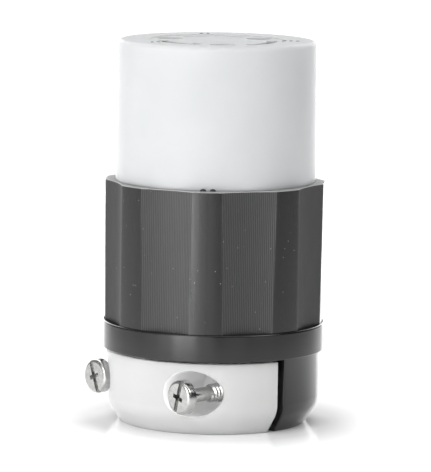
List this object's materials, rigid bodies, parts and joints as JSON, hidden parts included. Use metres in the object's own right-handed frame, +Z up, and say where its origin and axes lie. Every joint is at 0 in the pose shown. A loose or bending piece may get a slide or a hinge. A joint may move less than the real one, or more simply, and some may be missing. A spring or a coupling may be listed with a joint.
{
  "type": "locking cord connector",
  "caption": "Round female locking cord connector: white slotted contact barrel in a black ribbed grip, with a split cord clamp closed by two screws.",
  "frame": {"origin": "centre of the cord entry in the base plane", "axes": "+Z up the connector's axis to the contact face, clamp screws along Y with their heads towards -Y"},
  "size_m": [0.0448, 0.0448, 0.0768],
  "materials": {
    "white_nylon": "satin moulded nylon",
    "inner_nylon": "plain moulded nylon",
    "grip_nylon": "fine vertical ribs and smooth lands",
    "clamp_nylon": "smooth satin moulding",
    "plated_steel": "bright nickel plate",
    "brass": "rolled and folded strip",
    "spring_steel": "plain strip",
    "green_steel": "green dyed plate"
  },
  "bodies": {
    "connector": {"face_barrel": "white_nylon", "contact_block": "inner_nylon", "rear_insulator": "inner_nylon", "grip_housing": "grip_nylon", "clamp_body": "clamp_nylon", "clamp_screws": "plated_steel", "clamp_nuts": "plated_steel", "assembly_screws": "plated_steel", "hot_contact": "brass", "neutral_contact": "brass", "ground_contact": "brass", "hot_contact_spring": "spring_steel", "neutral_contact_spring": "spring_steel", "ground_contact_spring": "spring_steel", "hot_pressure_plate": "brass", "neutral_pressure_plate": "plated_steel", "ground_pressure_plate": "plated_steel", "hot_terminal_screw": "brass", "neutral_terminal_screw": "plated_steel", "ground_terminal_screw": "green_steel"},
    "jaw": {"clamp_jaw": "white_nylon"}
  },
  "joints": [
    {"name": "clamp_jaw_slide", "type": "slide", "parent": "connector", "child": "jaw", "axis": [0, -1, 0], "range_m": [-0.0012, 0.0084]}
  ]
}
